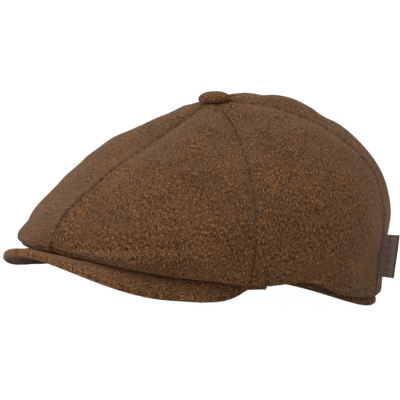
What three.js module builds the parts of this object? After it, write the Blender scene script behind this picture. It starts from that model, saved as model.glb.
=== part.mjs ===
// A six-panel newsboy cap in brown wool, resting on a table. Millimetres, +Z up.
// The front of the cap faces -Y and the wearer's left is +X. The dimensions below are measured
// from an upright axis through the crown, and the finished cap is then moved so that its origin is the
// middle of its footprint. Angles run from the front towards the wearer's left.
import * as THREE from "three";

// ---- Driving dimensions ----

// Half sections of the crown at four seams: front, front corner, back corner and back.
const SEAM_STATIONS = [0, 64, 123, 180];
const CROWN_RADIUS = [122.5, 108, 110, 112.5]; // widest radius, from the axis
const CROWN_RADIUS_Z = [28, 42, 52, 53]; // height of the widest line
const HEM_INSET = [1, 5, 1.5, 1.5]; // how far the hem fold sits inside the widest line
const HEM_Z = [24, 16, 7, 6.5]; // height of the hem fold
const SHOULDER = [0.367, 0.444, 0.49, 0.45]; // how far the crown runs out flat below the button
const CREST_RISE = [-23.5, -18.5, 1.5, 19]; // climb or fall of that flat run
const FLANK = [0.32, 0.43, 0.71, 0.54]; // fullness of the flank between button and widest line

// Every panel puffs out between its seams. The front, side and back panels in turn.
const PUFF_STOPS = [0, 0.3, 0.8, 1.25, 2]; // places down the section: 1 is the widest line, 2 the hem
const PUFF = [
  [0, 5.5, -1.5, 6.5, 5],
  [0, 3, 2, 3.5, 2],
  [0, 4, 1, 0, 0.5],
];

const APEX_Z = 119.5; // crown surface under the button, before the button pulls it down
const APEX_FORWARD = 6.5; // the button sits this far ahead of the axis, and draws the top along
const APEX_REACH = 40; // radius that is drawn along
const DIMPLE_DEPTH = 2; // pull of the button on the crown
const DIMPLE_RADIUS = 11;
const SEAT_RADIUS = 20; // within this radius the crown levels out to seat the button
const APEX_HOLE = 3.5; // radius left open round the button shank
const SEAMS = [0, 64, 123, 180, 237, 296]; // crown seams
const PANEL_NAMES = ["front_left", "side_left", "back_left", "back_right", "side_right", "front_right"];
const SEAM_GAP = 0.4; // clear space between neighbouring panels
const BELLY_FULLNESS = 0.45; // how far the lower side hangs straight down before it turns in
const TUCK_DEPTH = 0.3; // height above the hem fold where it has turned in, as a share
const TUCK_REACH = 0.25;
const HEM_ROLL = 2; // radius of the fold along the hem
const HEM_LIFT = 6.5; // the hem arches up over the band at each side
const HEM_LIFT_AT = 86; // angle of the middle of that arch
const HEM_LIFT_SPAN = 11;

const WOOL = 1.8; // thickness of the outer cloth
const LINING = 0.6;
const LINING_DROP = 2.8; // lining face below the crown's outer face
const CLEARANCE = 0.4; // gap between pieces that lie on each other

// Head opening: an egg-shaped oval, a little wider behind than in front.
const HEAD_HALF_LENGTH = 99.5; // outside of the head band
const HEAD_HALF_WIDTH = 94;
const HEAD_CENTRE_Y = 6.5;
const HEAD_EGG = 0.08;
const BAND_HEIGHT = 26;
const BAND_FRONT_RISE = 18; // the band's lower edge is this much higher in front
const BAND_FLAT_FROM = 128; // behind this angle the lower edge is flat on the table
const BAND_HIGH_TO = 64; // within this angle the lower edge is at its full height
const RETURN_ABOVE_BAND = 7.5; // where the crown's turned-under edge meets the band
const TAPE = 0.7; // stiffening tape inside the band
const TAPE_INSET = 3; // the tape is this much narrower than the band, above and below
const SWEATBAND = 1.1;
const SWEATBAND_INSET = 0.5; // its lower edge sits this far above the band's
const BAND_LAYERS = WOOL + CLEARANCE + TAPE + CLEARANCE + SWEATBAND;

// Visor: a crescent between the band and an outer oval, with narrow tails along the band.
const VISOR_HALF_WIDTH = 83.5;
const VISOR_LENGTH = 83;
const VISOR_CENTRE_Y = -56.5;
const VISOR_TIP = 110; // angle of the outer oval at the tips
const VISOR_SEAM_TIP = 70; // angle of the head oval at the tips
const VISOR_TAIL_FROM = 0.85; // share of the way to the tip where the tail begins
const VISOR_TAIL_REACH = 3; // the tail's edge is this far outside the band
const VISOR_EDGE_Z = 5.7; // lowest middle height of the outer edge
const VISOR_ARCH = 17.5; // the front of the edge is this much higher
const VISOR_ARCH_TURN = 1.23; // puts the lowest points at the front corners
const VISOR_ARCH_POWER = 2.3;
const VISOR_BULGE = 4; // the visor's sides bulge up towards the hem of the crown
const VISOR_BULGE_FROM = 0.4; // shares of the way to the tip where the bulge is full and fades
const VISOR_BULGE_TO = 0.7;
const VISOR_BULGE_FADE = 0.25;
const VISOR_SEAM_GAP = 0.6;
const VISOR_SEAM_RISE = -2; // middle of the seam from the lower edge of the band
const BOARD = 1.7; // plastic board
const BOARD_FROM = 0.06; // share of the visor's depth that the board starts and ends at
const BOARD_TO = 0.93;
const BOARD_CLEAR = 0.94; // the covers are still open here
const COVER = 1.35; // cloth on each side of it
const LAYER_GAP = 0.3;
const LIP_FROM = 0.955; // the covers close round the board from here
const LIP_OUTSIDE = 1.3; // half thickness of the closed edge
const BOARD_FACE = BOARD / 2;
const COVER_INSIDE = BOARD_FACE + LAYER_GAP;
const COVER_OUTSIDE = COVER_INSIDE + COVER;
const LIP_FACE = LAYER_GAP / 2;

const BUTTON_RADIUS = 10;
const BUTTON_TILT = 8; // leans forward with the crown
const BUTTON_BASE = 0.6; // underside of the button above the crown's apex
const BUTTON_CLOTH = 1.2; // the cloth is stretched thin over the button
const COVER_CUFF = 3; // width of the cloth turned under the rim
const SHELL_HEIGHT = 2.4;
const SHELL_RADIUS = BUTTON_RADIUS - BUTTON_CLOTH - CLEARANCE;
const DOME_BASE = BUTTON_BASE + BUTTON_CLOTH;
const SHELL_BASE = DOME_BASE + CLEARANCE;
const DOME_HEIGHT = SHELL_HEIGHT + 2 * CLEARANCE + BUTTON_CLOTH;
const SHANK_RADIUS = 1.5;
const PLATE_Z = -12; // retaining plate under the lining
const PLATE_RADIUS = 7;
const PLATE_THICKNESS = 1;

const TAB_SEAM = 2; // index of the seam that holds the side tab
const TAB_TOP_Z = 46;
const TAB_BOTTOM_Z = 20;
const TAB_REACH = 10;
const TAB_THICKNESS = 1.2;
const TAB_STANDOFF = 0.8;

const SIZE_LABEL_WIDTH = 22;
const SIZE_LABEL_HEIGHT = 14;
const SIZE_LABEL_TOP_Z = 22;
const SIZE_LABEL_SAG = 1; // the flat label cuts across the curve of the band
const LABEL_THICKNESS = 0.5;
const PATCH_WIDTH = 44; // sewn patch in the middle of the lining
const PATCH_LENGTH = 30;
const PATCH_FROM = 24; // distance behind the axis
const PATCH_DROP = 6; // below the crown's outer face, clear of the lining

// ---- Grid sizes ----
const PANEL_STEPS = 8;
const LINING_STEPS = 5;
const RING_STEPS = 60;
const VISOR_STEPS = 24;
const VISOR_ROWS = 4;
const BOARD_TRIM = 2; // the board stops this many steps short of the tips
const LATHE_STEPS = 20;
const DOME_STEPS = 5;
const TOP_STEPS = 9; // down a crown section: the top and flank, the lower side, the fold, the return
const SIDE_STEPS = 4;
const FOLD_STEPS = 3;
const RETURN_STEPS = 3;
const PATCH_STEPS = 4;
const NUDGE = 0.01; // step in t that gives a section's direction
const SEARCH_ROUNDS = 30;
const OVAL_ROUNDS = 12;

const TAU = 2 * Math.PI;
const rad = THREE.MathUtils.degToRad;

// ---- Materials ----

function cloth(color, roughness) {
  return new THREE.MeshStandardMaterial({ color, roughness, metalness: 0 });
}

const wool = cloth(0x5e4028, 0.95);
const woolUnder = cloth(0x543a24, 0.95);
const satin = cloth(0x3a2418, 0.5);
const twillTape = cloth(0x2a201a, 0.85);
const webbing = cloth(0x504440, 0.9);
const labelCloth = cloth(0xcfc6b6, 0.8);
const board = new THREE.MeshStandardMaterial({ color: 0x1c1c1e, roughness: 0.6, metalness: 0 });
const metal = new THREE.MeshStandardMaterial({ color: 0xb0b2b4, roughness: 0.35, metalness: 1 });

// ---- Curves ----

// Angle folded onto the wearer's left half of the cap, in degrees.
function halfAngle(angle) {
  return Math.abs(THREE.MathUtils.radToDeg(Math.atan2(Math.sin(angle), Math.cos(angle))));
}

// Smooth curve through the values at the stops, with end slopes of zero.
function through(stops, values, at) {
  const last = stops.length - 1;
  const i = Math.min(last - 1, Math.max(0, stops.findIndex((stop) => at < stop) - 1));
  const k = at >= stops[last] ? last - 1 : i;
  const slope = (n) =>
    n === 0 || n === last ? 0 : (values[n + 1] - values[n - 1]) / (stops[n + 1] - stops[n - 1]);
  const width = stops[k + 1] - stops[k];
  const u = (at - stops[k]) / width;
  return (
    (1 + 2 * u) * (1 - u) ** 2 * values[k] +
    u * (1 - u) ** 2 * width * slope(k) +
    u * u * (3 - 2 * u) * values[k + 1] +
    u * u * (u - 1) * width * slope(k + 1)
  );
}

function around(angle, values) {
  return through(SEAM_STATIONS, values, halfAngle(angle));
}

// How far the cloth puffs out at an angle and a place t down the section.
function puff(angle, t) {
  const half = halfAngle(angle);
  const panel = SEAM_STATIONS.slice(1, -1).filter((seam) => half > seam).length;
  const from = SEAM_STATIONS[panel];
  const share = (half - from) / (SEAM_STATIONS[panel + 1] - from);
  return Math.sin(Math.PI * share) * through(PUFF_STOPS, PUFF[panel], t);
}

const mix = THREE.MathUtils.lerp;

function bezier(a, b, c, d, t) {
  const s = 1 - t;
  return s * s * s * a + 3 * s * s * t * b + 3 * s * t * t * c + t * t * t * d;
}

function smoothstep(u) {
  const c = Math.min(1, Math.max(0, u));
  return c * c * (3 - 2 * c);
}

// Point of the head oval. The angle is the oval's own parameter, and grow moves it outwards.
function headOval(param, grow) {
  const width = (HEAD_HALF_WIDTH + grow) * (1 - HEAD_EGG * Math.cos(param));
  return [
    width * Math.sin(param),
    HEAD_CENTRE_Y - (HEAD_HALF_LENGTH + grow) * Math.cos(param),
  ];
}

function bandLowerEdge(param) {
  const turned = Math.abs(Math.atan2(Math.sin(param), Math.cos(param)));
  const span = rad(BAND_FLAT_FROM - BAND_HIGH_TO);
  return BAND_FRONT_RISE * smoothstep((rad(BAND_FLAT_FROM) - turned) / span);
}

// Radius of the head oval seen from the axis, and the oval's parameter there.
function headRadius(angle, grow) {
  let param = angle;
  for (let i = 0; i < OVAL_ROUNDS; i += 1) {
    const [x, y] = headOval(param, grow);
    const miss = Math.atan2(x, -y) - angle;
    param -= Math.atan2(Math.sin(miss), Math.cos(miss));
  }
  const [x, y] = headOval(param, grow);
  return { radius: Math.hypot(x, y), param };
}

// Half section of the crown at one angle, as if every panel were flat between its seams:
// [radius, height] from the button out to the hem fold. The first half of t is the top and
// flank, the second half runs down to the fold.
function flatCrownPoint(angle, t) {
  const radius = around(angle, CROWN_RADIUS);
  const wideZ = around(angle, CROWN_RADIUS_Z);
  const hemRadius = radius - around(angle, HEM_INSET);
  const lift = HEM_LIFT * Math.exp(-(((halfAngle(angle) - HEM_LIFT_AT) / HEM_LIFT_SPAN) ** 2));
  const hemZ = around(angle, HEM_Z) + lift + HEM_ROLL;
  const shoulder = around(angle, SHOULDER) * radius;
  const crestZ = APEX_Z + around(angle, CREST_RISE);
  const flankZ = wideZ + around(angle, FLANK) * (APEX_Z - wideZ);
  if (t <= 1) {
    const r = bezier(0, shoulder, radius, radius, t);
    const z = bezier(APEX_Z, crestZ, flankZ, wideZ, t);
    const seatZ = APEX_Z - Math.tan(rad(BUTTON_TILT)) * r * Math.cos(angle);
    const dimple = DIMPLE_DEPTH * Math.exp(-((r / DIMPLE_RADIUS) ** 2));
    return [r, seatZ + (z - seatZ) * smoothstep(r / SEAT_RADIUS) - dimple];
  }
  const drop = wideZ - hemZ;
  const tuck = radius - hemRadius;
  return [
    bezier(radius, radius, hemRadius + TUCK_REACH * tuck, hemRadius, t - 1),
    bezier(wideZ, wideZ - BELLY_FULLNESS * drop, hemZ + TUCK_DEPTH * drop, hemZ, t - 1),
  ];
}

function crownPoint(angle, t) {
  const [r, z] = flatCrownPoint(angle, t);
  const [r0, z0] = flatCrownPoint(angle, Math.max(0, t - NUDGE));
  const [r1, z1] = flatCrownPoint(angle, Math.min(2, t + NUDGE));
  const length = Math.hypot(r1 - r0, z1 - z0);
  const amount = puff(angle, t) / length;
  return [r - amount * (z1 - z0), z + amount * (r1 - r0)];
}

// Point at a radius and height, with the top drawn forward.
function spun(angle, r, z) {
  const forward = APEX_FORWARD * (1 - smoothstep(r / APEX_REACH));
  return [r * Math.sin(angle), -r * Math.cos(angle) - forward, z];
}

// Value of t where the crown section first satisfies the test.
function findT(angle, reached) {
  let low = 0;
  let high = 2;
  for (let i = 0; i < SEARCH_ROUNDS; i += 1) {
    const middle = (low + high) / 2;
    if (reached(crownPoint(angle, middle))) high = middle;
    else low = middle;
  }
  return high;
}

// Unit normals of a section line, to its right-hand side: inwards for a line from apex to hem.
function sectionNormals(line) {
  return line.map((_, i) => {
    const a = line[Math.max(0, i - 1)];
    const b = line[Math.min(line.length - 1, i + 1)];
    const dr = b[0] - a[0];
    const dz = b[1] - a[1];
    const length = Math.hypot(dr, dz);
    return [dz / length, -dr / length];
  });
}

function offsetSection(line, distance) {
  const normals = sectionNormals(line);
  return line.map(([r, z], i) => [r + distance * normals[i][0], z + distance * normals[i][1]]);
}

// ---- Solids ----

// Closed solid between two equal grids of points, grid[u][v]. With ring set, u closes on itself.
function shell(outer, inner, ring = false) {
  const rows = outer.length;
  const columns = outer[0].length;
  const points = [...outer.flat(), ...inner.flat()];
  const at = (side, u, v) => side * rows * columns + (u % rows) * columns + v;
  const index = [];
  const quad = (a, b, c, d) => index.push(a, b, c, a, c, d);
  const bays = ring ? rows : rows - 1;
  for (let u = 0; u < bays; u += 1) {
    for (let v = 0; v < columns - 1; v += 1) {
      quad(at(0, u, v), at(0, u, v + 1), at(0, u + 1, v + 1), at(0, u + 1, v));
      quad(at(1, u, v), at(1, u + 1, v), at(1, u + 1, v + 1), at(1, u, v + 1));
    }
    const end = columns - 1;
    quad(at(0, u, 0), at(0, u + 1, 0), at(1, u + 1, 0), at(1, u, 0));
    quad(at(0, u, end), at(1, u, end), at(1, u + 1, end), at(0, u + 1, end));
  }
  if (!ring) {
    const end = rows - 1;
    for (let v = 0; v < columns - 1; v += 1) {
      quad(at(0, 0, v), at(1, 0, v), at(1, 0, v + 1), at(0, 0, v + 1));
      quad(at(0, end, v), at(0, end, v + 1), at(1, end, v + 1), at(1, end, v));
    }
  }
  const geometry = new THREE.BufferGeometry();
  geometry.setAttribute("position", new THREE.Float32BufferAttribute(points.flat(), 3));
  geometry.setIndex(index);
  geometry.computeVertexNormals();
  return geometry;
}

function mesh(name, geometry, material) {
  const made = new THREE.Mesh(geometry, material);
  made.name = name;
  return made;
}

function steps(count, from = 0, to = 1) {
  return Array.from({ length: count + 1 }, (_, i) => from + ((to - from) * i) / count);
}

// Point at a section's [radius, height] on the panel between two seams. Share 0 to 1 crosses it,
// and its sides stay parallel to the seams, half a gap away.
function panelPoint([r, z], from, to, share) {
  const margin = Math.asin(Math.min(1, SEAM_GAP / 2 / r));
  const angle = from + margin + (to - from - 2 * margin) * share;
  return spun(angle, r, z);
}

function panelGrid(from, to, count, sectionAt) {
  return steps(count).map((share) => {
    const angle = from + (to - from) * share;
    return sectionAt(angle).map((point) => panelPoint(point, from, to, share));
  });
}

// Outer face of a crown panel: top, flank, hem fold, and the edge turned under to the band.
function crownSection(angle) {
  const start = findT(angle, ([r]) => r >= APEX_HOLE);
  const places = [...steps(TOP_STEPS, start, 1), ...steps(SIDE_STEPS, 1, 2).slice(1)];
  const line = places.map((t) => crownPoint(angle, t));
  const [hemRadius, hemZ] = line[line.length - 1];
  for (const turn of steps(FOLD_STEPS, 0, Math.PI / 2).slice(1)) {
    line.push([
      hemRadius - HEM_ROLL * (1 - Math.cos(turn)),
      hemZ - HEM_ROLL * Math.sin(turn),
    ]);
  }
  const { radius, param } = headRadius(angle, CLEARANCE);
  const from = line[line.length - 1];
  const endZ = bandLowerEdge(param) + RETURN_ABOVE_BAND;
  for (const share of steps(RETURN_STEPS).slice(1)) {
    line.push([
      from[0] + (radius - from[0]) * share,
      from[1] + (endZ - from[1]) * share * share,
    ]);
  }
  return line;
}

function crownPanel(name, from, to) {
  const outer = panelGrid(from, to, PANEL_STEPS, crownSection);
  const inner = panelGrid(from, to, PANEL_STEPS, (angle) => offsetSection(crownSection(angle), WOOL));
  return mesh(name, shell(outer, inner), wool);
}

// Lining: follows the crown inside, then turns in to the top of the band.
function liningSection(angle) {
  const { radius, param } = headRadius(angle, -CLEARANCE);
  const top = bandLowerEdge(param) + BAND_HEIGHT + CLEARANCE + LINING;
  const start = findT(angle, ([r]) => r >= APEX_HOLE + LINING_DROP);
  const end = findT(angle, ([r, z]) => r > radius / 2 && z <= top + LINING_DROP);
  const line = steps(TOP_STEPS, start, end).map((t) => crownPoint(angle, t));
  const inside = offsetSection(line, LINING_DROP);
  const from = inside[inside.length - 1];
  for (const share of steps(RETURN_STEPS).slice(1)) {
    inside.push([from[0] + (radius - from[0]) * share, from[1] + (top - from[1]) * share]);
  }
  return inside;
}

function liningPanel(name, from, to) {
  const outer = panelGrid(from, to, LINING_STEPS, liningSection);
  const inner = panelGrid(from, to, LINING_STEPS, (angle) =>
    offsetSection(liningSection(angle), LINING),
  );
  return mesh(name, shell(outer, inner), satin);
}

// Upright strip that follows the head oval all the way round.
function ringBand(name, grow, thickness, bottom, top, material) {
  const face = (offset) =>
    steps(RING_STEPS, 0, TAU)
      .slice(0, RING_STEPS)
      .map((param) => {
        const [x, y] = headOval(param, offset);
        const low = bandLowerEdge(param);
        return [low + top, low + bottom].map((z) => [x, y, z]);
      });
  return mesh(name, shell(face(grow), face(grow - thickness), true), material);
}

// ---- Visor ----

// Middle surface of the visor: s runs from tip to tip (-1 to 1), t from the band to the edge.
function visorPoint(s, t) {
  const seam = s * rad(VISOR_SEAM_TIP);
  const edge = s * rad(VISOR_TIP);
  const [xi, yi] = headOval(seam, VISOR_SEAM_GAP);
  const zi = bandLowerEdge(seam) + VISOR_SEAM_RISE;
  const [xt, yt] = headOval(seam, VISOR_TAIL_REACH);
  const tail = smoothstep((Math.abs(s) - VISOR_TAIL_FROM) / (1 - VISOR_TAIL_FROM));
  const xo = mix(VISOR_HALF_WIDTH * Math.sin(edge), xt, tail);
  const yo = mix(VISOR_CENTRE_Y - VISOR_LENGTH * Math.cos(edge), yt, tail);
  const arch = Math.abs(Math.cos(VISOR_ARCH_TURN * edge)) ** VISOR_ARCH_POWER;
  const zo = VISOR_EDGE_Z + VISOR_ARCH * arch;
  const fade = 1 - smoothstep((Math.abs(s) - VISOR_BULGE_TO) / VISOR_BULGE_FADE);
  const bulge = VISOR_BULGE * smoothstep(Math.abs(s) / VISOR_BULGE_FROM) * fade;
  return [mix(xi, xo, t), mix(yi, yo, t), mix(zi, zo, t) + bulge * Math.sin(Math.PI * t)];
}

// One layer of the visor. Each row gives t and the layer's upper and lower height there.
// Trim is the number of grid steps left out at each tip.
function visorLayer(name, rows, trim, material) {
  const reach = 1 - (2 * trim) / VISOR_STEPS;
  const face = (side) =>
    steps(VISOR_STEPS - 2 * trim, -reach, reach).map((s) =>
      rows.map((row) => {
        const [x, y, z] = visorPoint(s, row[0]);
        return [x, y, z + row[side]];
      }),
    );
  return mesh(name, shell(face(1), face(2)), material);
}

function visorUpperCover() {
  const rows = steps(VISOR_ROWS, 0, BOARD_CLEAR).map((t) => [t, COVER_OUTSIDE, COVER_INSIDE]);
  rows.push([LIP_FROM, COVER_OUTSIDE, LIP_FACE], [1, LIP_OUTSIDE, LIP_FACE]);
  return visorLayer("visor_upper_cover", rows, 0, wool);
}

function visorUnderCover() {
  const rows = steps(VISOR_ROWS, 0, BOARD_CLEAR).map((t) => [t, -COVER_INSIDE, -COVER_OUTSIDE]);
  rows.push([LIP_FROM, -LIP_FACE, -COVER_OUTSIDE], [1, -LIP_FACE, -LIP_OUTSIDE]);
  return visorLayer("visor_under_cover", rows, 0, woolUnder);
}

function visorBoard() {
  const rows = steps(VISOR_ROWS, BOARD_FROM, BOARD_TO).map((t) => [t, BOARD_FACE, -BOARD_FACE]);
  return visorLayer("visor_board", rows, BOARD_TRIM, board);
}

// ---- Top button ----

function lathe(name, profile, material) {
  const points = profile.map(([r, z]) => new THREE.Vector2(r, z));
  const geometry = new THREE.LatheGeometry(points, LATHE_STEPS);
  geometry.rotateX(Math.PI / 2);
  return mesh(name, geometry, material);
}

// Dome profile from its rim at the base up to the axis.
function dome(radius, height, baseZ) {
  return steps(DOME_STEPS, 0, Math.PI / 2).map((turn) => [
    radius * Math.cos(turn),
    baseZ + height * Math.sin(turn),
  ]);
}

// Cloth cap of the button, with its edge turned under the metal shell.
function buttonCover() {
  const inside = dome(SHELL_RADIUS + CLEARANCE, SHELL_HEIGHT + 2 * CLEARANCE, DOME_BASE);
  return lathe(
    "top_button_cover",
    [
      ...inside.reverse(),
      [BUTTON_RADIUS - COVER_CUFF, DOME_BASE],
      [BUTTON_RADIUS - COVER_CUFF, BUTTON_BASE],
      [BUTTON_RADIUS - BUTTON_CLOTH / 2, BUTTON_BASE],
      ...dome(BUTTON_RADIUS, DOME_HEIGHT, DOME_BASE),
    ],
    wool,
  );
}

function buttonShell() {
  return lathe(
    "top_button_shell",
    [[0, SHELL_BASE], ...dome(SHELL_RADIUS, SHELL_HEIGHT, SHELL_BASE)],
    metal,
  );
}

function buttonShank() {
  const foot = PLATE_Z + PLATE_THICKNESS + CLEARANCE;
  const top = SHELL_BASE - CLEARANCE;
  return lathe(
    "top_button_shank",
    [[0, foot], [SHANK_RADIUS, foot], [SHANK_RADIUS, top], [0, top]],
    metal,
  );
}

function buttonPlate() {
  const top = PLATE_Z + PLATE_THICKNESS;
  return lathe(
    "top_button_back_plate",
    [[0, PLATE_Z], [PLATE_RADIUS, PLATE_Z], [PLATE_RADIUS, top], [0, top]],
    metal,
  );
}

function topButton() {
  const group = new THREE.Group();
  group.position.set(0, -APEX_FORWARD, APEX_Z);
  group.rotation.x = rad(BUTTON_TILT);
  group.add(buttonCover(), buttonShell(), buttonShank(), buttonPlate());
  return group;
}

// ---- Labels ----

// Stiff folded tab that stands out of a back corner seam. Its hinge is the sewn edge.
function sideTab() {
  const angle = rad(SEAMS[TAB_SEAM]);
  const ends = [TAB_TOP_Z, TAB_BOTTOM_Z].map((height) => {
    const t = findT(angle, ([r, z]) => r > CROWN_RADIUS[2] / 2 && z <= height);
    return crownPoint(angle, t);
  });
  const out = new THREE.Vector3(Math.sin(angle), -Math.cos(angle), 0);
  const along = new THREE.Vector3(Math.cos(angle), Math.sin(angle), 0);
  const face = (side) =>
    [TAB_STANDOFF, TAB_STANDOFF + TAB_REACH].map((reach) =>
      ends.map(([r, z]) => {
        const point = out.clone().multiplyScalar(r + reach);
        point.addScaledVector(along, (side * TAB_THICKNESS) / 2);
        return [point.x, point.y, z];
      }),
    );
  return mesh("side_tab", shell(face(-1), face(1)), webbing);
}

// Small folded label that hangs from the top of the sweatband at the back.
function sizeLabel() {
  const inner = BAND_LAYERS + CLEARANCE + LABEL_THICKNESS;
  const backY = HEAD_CENTRE_Y + HEAD_HALF_LENGTH - inner - SIZE_LABEL_SAG;
  const geometry = new THREE.BoxGeometry(SIZE_LABEL_WIDTH, LABEL_THICKNESS, SIZE_LABEL_HEIGHT);
  const made = mesh("size_label", geometry, labelCloth);
  made.position.set(0, backY, SIZE_LABEL_TOP_Z - SIZE_LABEL_HEIGHT / 2);
  return made;
}

// Patch sewn flat on the lining, behind the button.
function liningPatch() {
  const angle = Math.PI;
  const from = findT(angle, ([r]) => r >= PATCH_FROM);
  const to = findT(angle, ([r]) => r >= PATCH_FROM + PATCH_LENGTH);
  const face = (drop) =>
    steps(PATCH_STEPS, 1, -1).map((side) =>
      steps(PATCH_STEPS, from, to).map((t) => {
        const [r] = crownPoint(angle, t);
        const x = (side * PATCH_WIDTH) / 2;
        const turned = Math.atan2(x, -r);
        const reach = Math.hypot(x, r);
        const here = findT(turned, ([radius]) => radius >= reach);
        return [x, r, crownPoint(turned, here)[1] - drop];
      }),
    );
  return mesh("lining_patch", shell(face(PATCH_DROP), face(PATCH_DROP + LABEL_THICKNESS)), labelCloth);
}

// ---- Assembly ----

function newsboyCap() {
  const cap = new THREE.Group();
  cap.name = "newsboy_cap";
  PANEL_NAMES.forEach((name, i) => {
    const from = rad(SEAMS[i]);
    const to = i + 1 < SEAMS.length ? rad(SEAMS[i + 1]) : TAU;
    cap.add(crownPanel(`crown_panel_${name}`, from, to));
    cap.add(liningPanel(`lining_panel_${name}`, from, to));
  });
  const tapeGrow = -WOOL - CLEARANCE;
  const sweatGrow = tapeGrow - TAPE - CLEARANCE;
  cap.add(
    ringBand("head_band", 0, WOOL, 0, BAND_HEIGHT, wool),
    ringBand("band_tape", tapeGrow, TAPE, TAPE_INSET, BAND_HEIGHT - TAPE_INSET, twillTape),
    ringBand("sweatband", sweatGrow, SWEATBAND, SWEATBAND_INSET, BAND_HEIGHT, satin),
    visorUpperCover(),
    visorBoard(),
    visorUnderCover(),
    topButton(),
    sideTab(),
    sizeLabel(),
    liningPatch(),
  );
  return cap;
}

// Moves the finished cap so that the origin is at the bottom centre of its bounding box.
function centred(cap) {
  const box = new THREE.Box3().setFromObject(cap, true);
  cap.position.y = -(box.min.y + box.max.y) / 2;
  return new THREE.Group().add(cap);
}

export default centred(newsboyCap());
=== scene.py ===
"""A six-panel newsboy cap in brown wool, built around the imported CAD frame.

Shapes are worked out in millimetres from an upright axis through the crown, with the front of the
cap facing -Y and the wearer's left at +X, and are then moved into the row frame in metres.
Angles run from the front towards the wearer's left.
"""

import math

import bpy
import numpy as np
from mathutils import Matrix, Vector


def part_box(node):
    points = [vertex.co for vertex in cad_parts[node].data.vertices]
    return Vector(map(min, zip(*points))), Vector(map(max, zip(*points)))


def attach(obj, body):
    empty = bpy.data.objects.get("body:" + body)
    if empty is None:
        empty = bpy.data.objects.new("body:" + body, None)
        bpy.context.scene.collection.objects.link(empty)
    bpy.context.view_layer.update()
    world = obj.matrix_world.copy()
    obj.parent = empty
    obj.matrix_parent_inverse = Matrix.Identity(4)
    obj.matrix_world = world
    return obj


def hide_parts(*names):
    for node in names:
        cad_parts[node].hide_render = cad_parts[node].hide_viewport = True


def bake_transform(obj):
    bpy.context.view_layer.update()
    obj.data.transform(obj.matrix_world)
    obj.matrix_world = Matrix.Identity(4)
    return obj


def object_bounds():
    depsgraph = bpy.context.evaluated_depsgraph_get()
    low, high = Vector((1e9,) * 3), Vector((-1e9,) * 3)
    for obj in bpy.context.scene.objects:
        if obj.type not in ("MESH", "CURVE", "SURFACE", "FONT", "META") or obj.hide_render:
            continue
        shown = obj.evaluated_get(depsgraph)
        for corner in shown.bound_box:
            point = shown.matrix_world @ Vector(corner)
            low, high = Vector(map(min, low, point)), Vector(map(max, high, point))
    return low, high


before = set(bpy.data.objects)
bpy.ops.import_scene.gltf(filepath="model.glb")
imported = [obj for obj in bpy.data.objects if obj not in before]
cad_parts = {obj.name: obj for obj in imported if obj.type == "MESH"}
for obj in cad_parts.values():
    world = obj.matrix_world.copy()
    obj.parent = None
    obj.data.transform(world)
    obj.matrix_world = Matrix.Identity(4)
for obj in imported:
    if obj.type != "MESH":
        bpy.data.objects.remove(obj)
CAD_BOX = [[float(v) for v in corner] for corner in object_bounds()]

# ---- Dimensions shared with the CAD part ----

SEAM_STATIONS = (0, 64, 123, 180)
CROWN_RADIUS = (122.5, 108, 110, 112.5)
CROWN_RADIUS_Z = (28, 42, 52, 53)
HEM_INSET = (1, 5, 1.5, 1.5)
HEM_Z = (24, 16, 7, 6.5)
SHOULDER = (0.367, 0.444, 0.49, 0.45)
CREST_RISE = (-23.5, -18.5, 1.5, 19)
FLANK = (0.32, 0.43, 0.71, 0.54)
PUFF_STOPS = (0, 0.3, 0.8, 1.25, 2)
PUFF = ((0, 5.5, -1.5, 6.5, 5), (0, 3, 2, 3.5, 2), (0, 4, 1, 0, 0.5))
APEX_Z = 119.5
APEX_FORWARD = 6.5  # the button sits this far ahead of the axis
APEX_REACH = 40
DIMPLE_DEPTH = 2
DIMPLE_RADIUS = 11
SEAT_RADIUS = 20
APEX_HOLE = 3.5
SEAMS = (0, 64, 123, 180, 237, 296, 360)
PANELS = ("front_left", "side_left", "back_left", "back_right", "side_right", "front_right")
BELLY_FULLNESS = 0.45  # how far the lower side hangs straight down before it turns in
TUCK_DEPTH = 0.3
TUCK_REACH = 0.25
HEM_ROLL = 2
HEM_LIFT = 6.5  # the hem arches up at each side
HEM_LIFT_AT = 86
HEM_LIFT_SPAN = 11
WOOL = 1.8
LINING = 0.6
LINING_DROP = 2.8
CLEARANCE = 0.4

HEAD_HALF_LENGTH = 99.5
HEAD_HALF_WIDTH = 94
HEAD_CENTRE_Y = 6.5
HEAD_EGG = 0.08
BAND_HEIGHT = 26
BAND_FRONT_RISE = 18
BAND_FLAT_FROM = 128
BAND_HIGH_TO = 64
RETURN_ABOVE_BAND = 7.5
TAPE = 0.7
TAPE_INSET = 3
SWEATBAND = 1.1
SWEATBAND_INSET = 0.5

VISOR_HALF_WIDTH = 83.5
VISOR_LENGTH = 83
VISOR_CENTRE_Y = -56.5
VISOR_TIP = 110
VISOR_SEAM_TIP = 70
VISOR_TAIL_FROM = 0.85
VISOR_TAIL_REACH = 3
VISOR_EDGE_Z = 5.7
VISOR_ARCH = 17.5
VISOR_ARCH_TURN = 1.23
VISOR_ARCH_POWER = 2.3
VISOR_BULGE = 4
VISOR_BULGE_FROM = 0.4
VISOR_BULGE_TO = 0.7
VISOR_BULGE_FADE = 0.25
VISOR_SEAM_GAP = 0.6
VISOR_SEAM_RISE = -2
VISOR_HALF_THICKNESS = 2.5
BOARD = 1.7
BOARD_FROM = 0.06
BOARD_TO = 0.88
COVER = 1.35

BUTTON_RADIUS = 10
BUTTON_TILT = 8
BUTTON_BASE = 0.6
# The frame's origin is this far ahead of the axis, found from the visor's front edge.
FORWARD_OFFSET = VISOR_LENGTH - VISOR_CENTRE_Y + 1000 * CAD_BOX[0][1]

# ---- Curves ----


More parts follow.
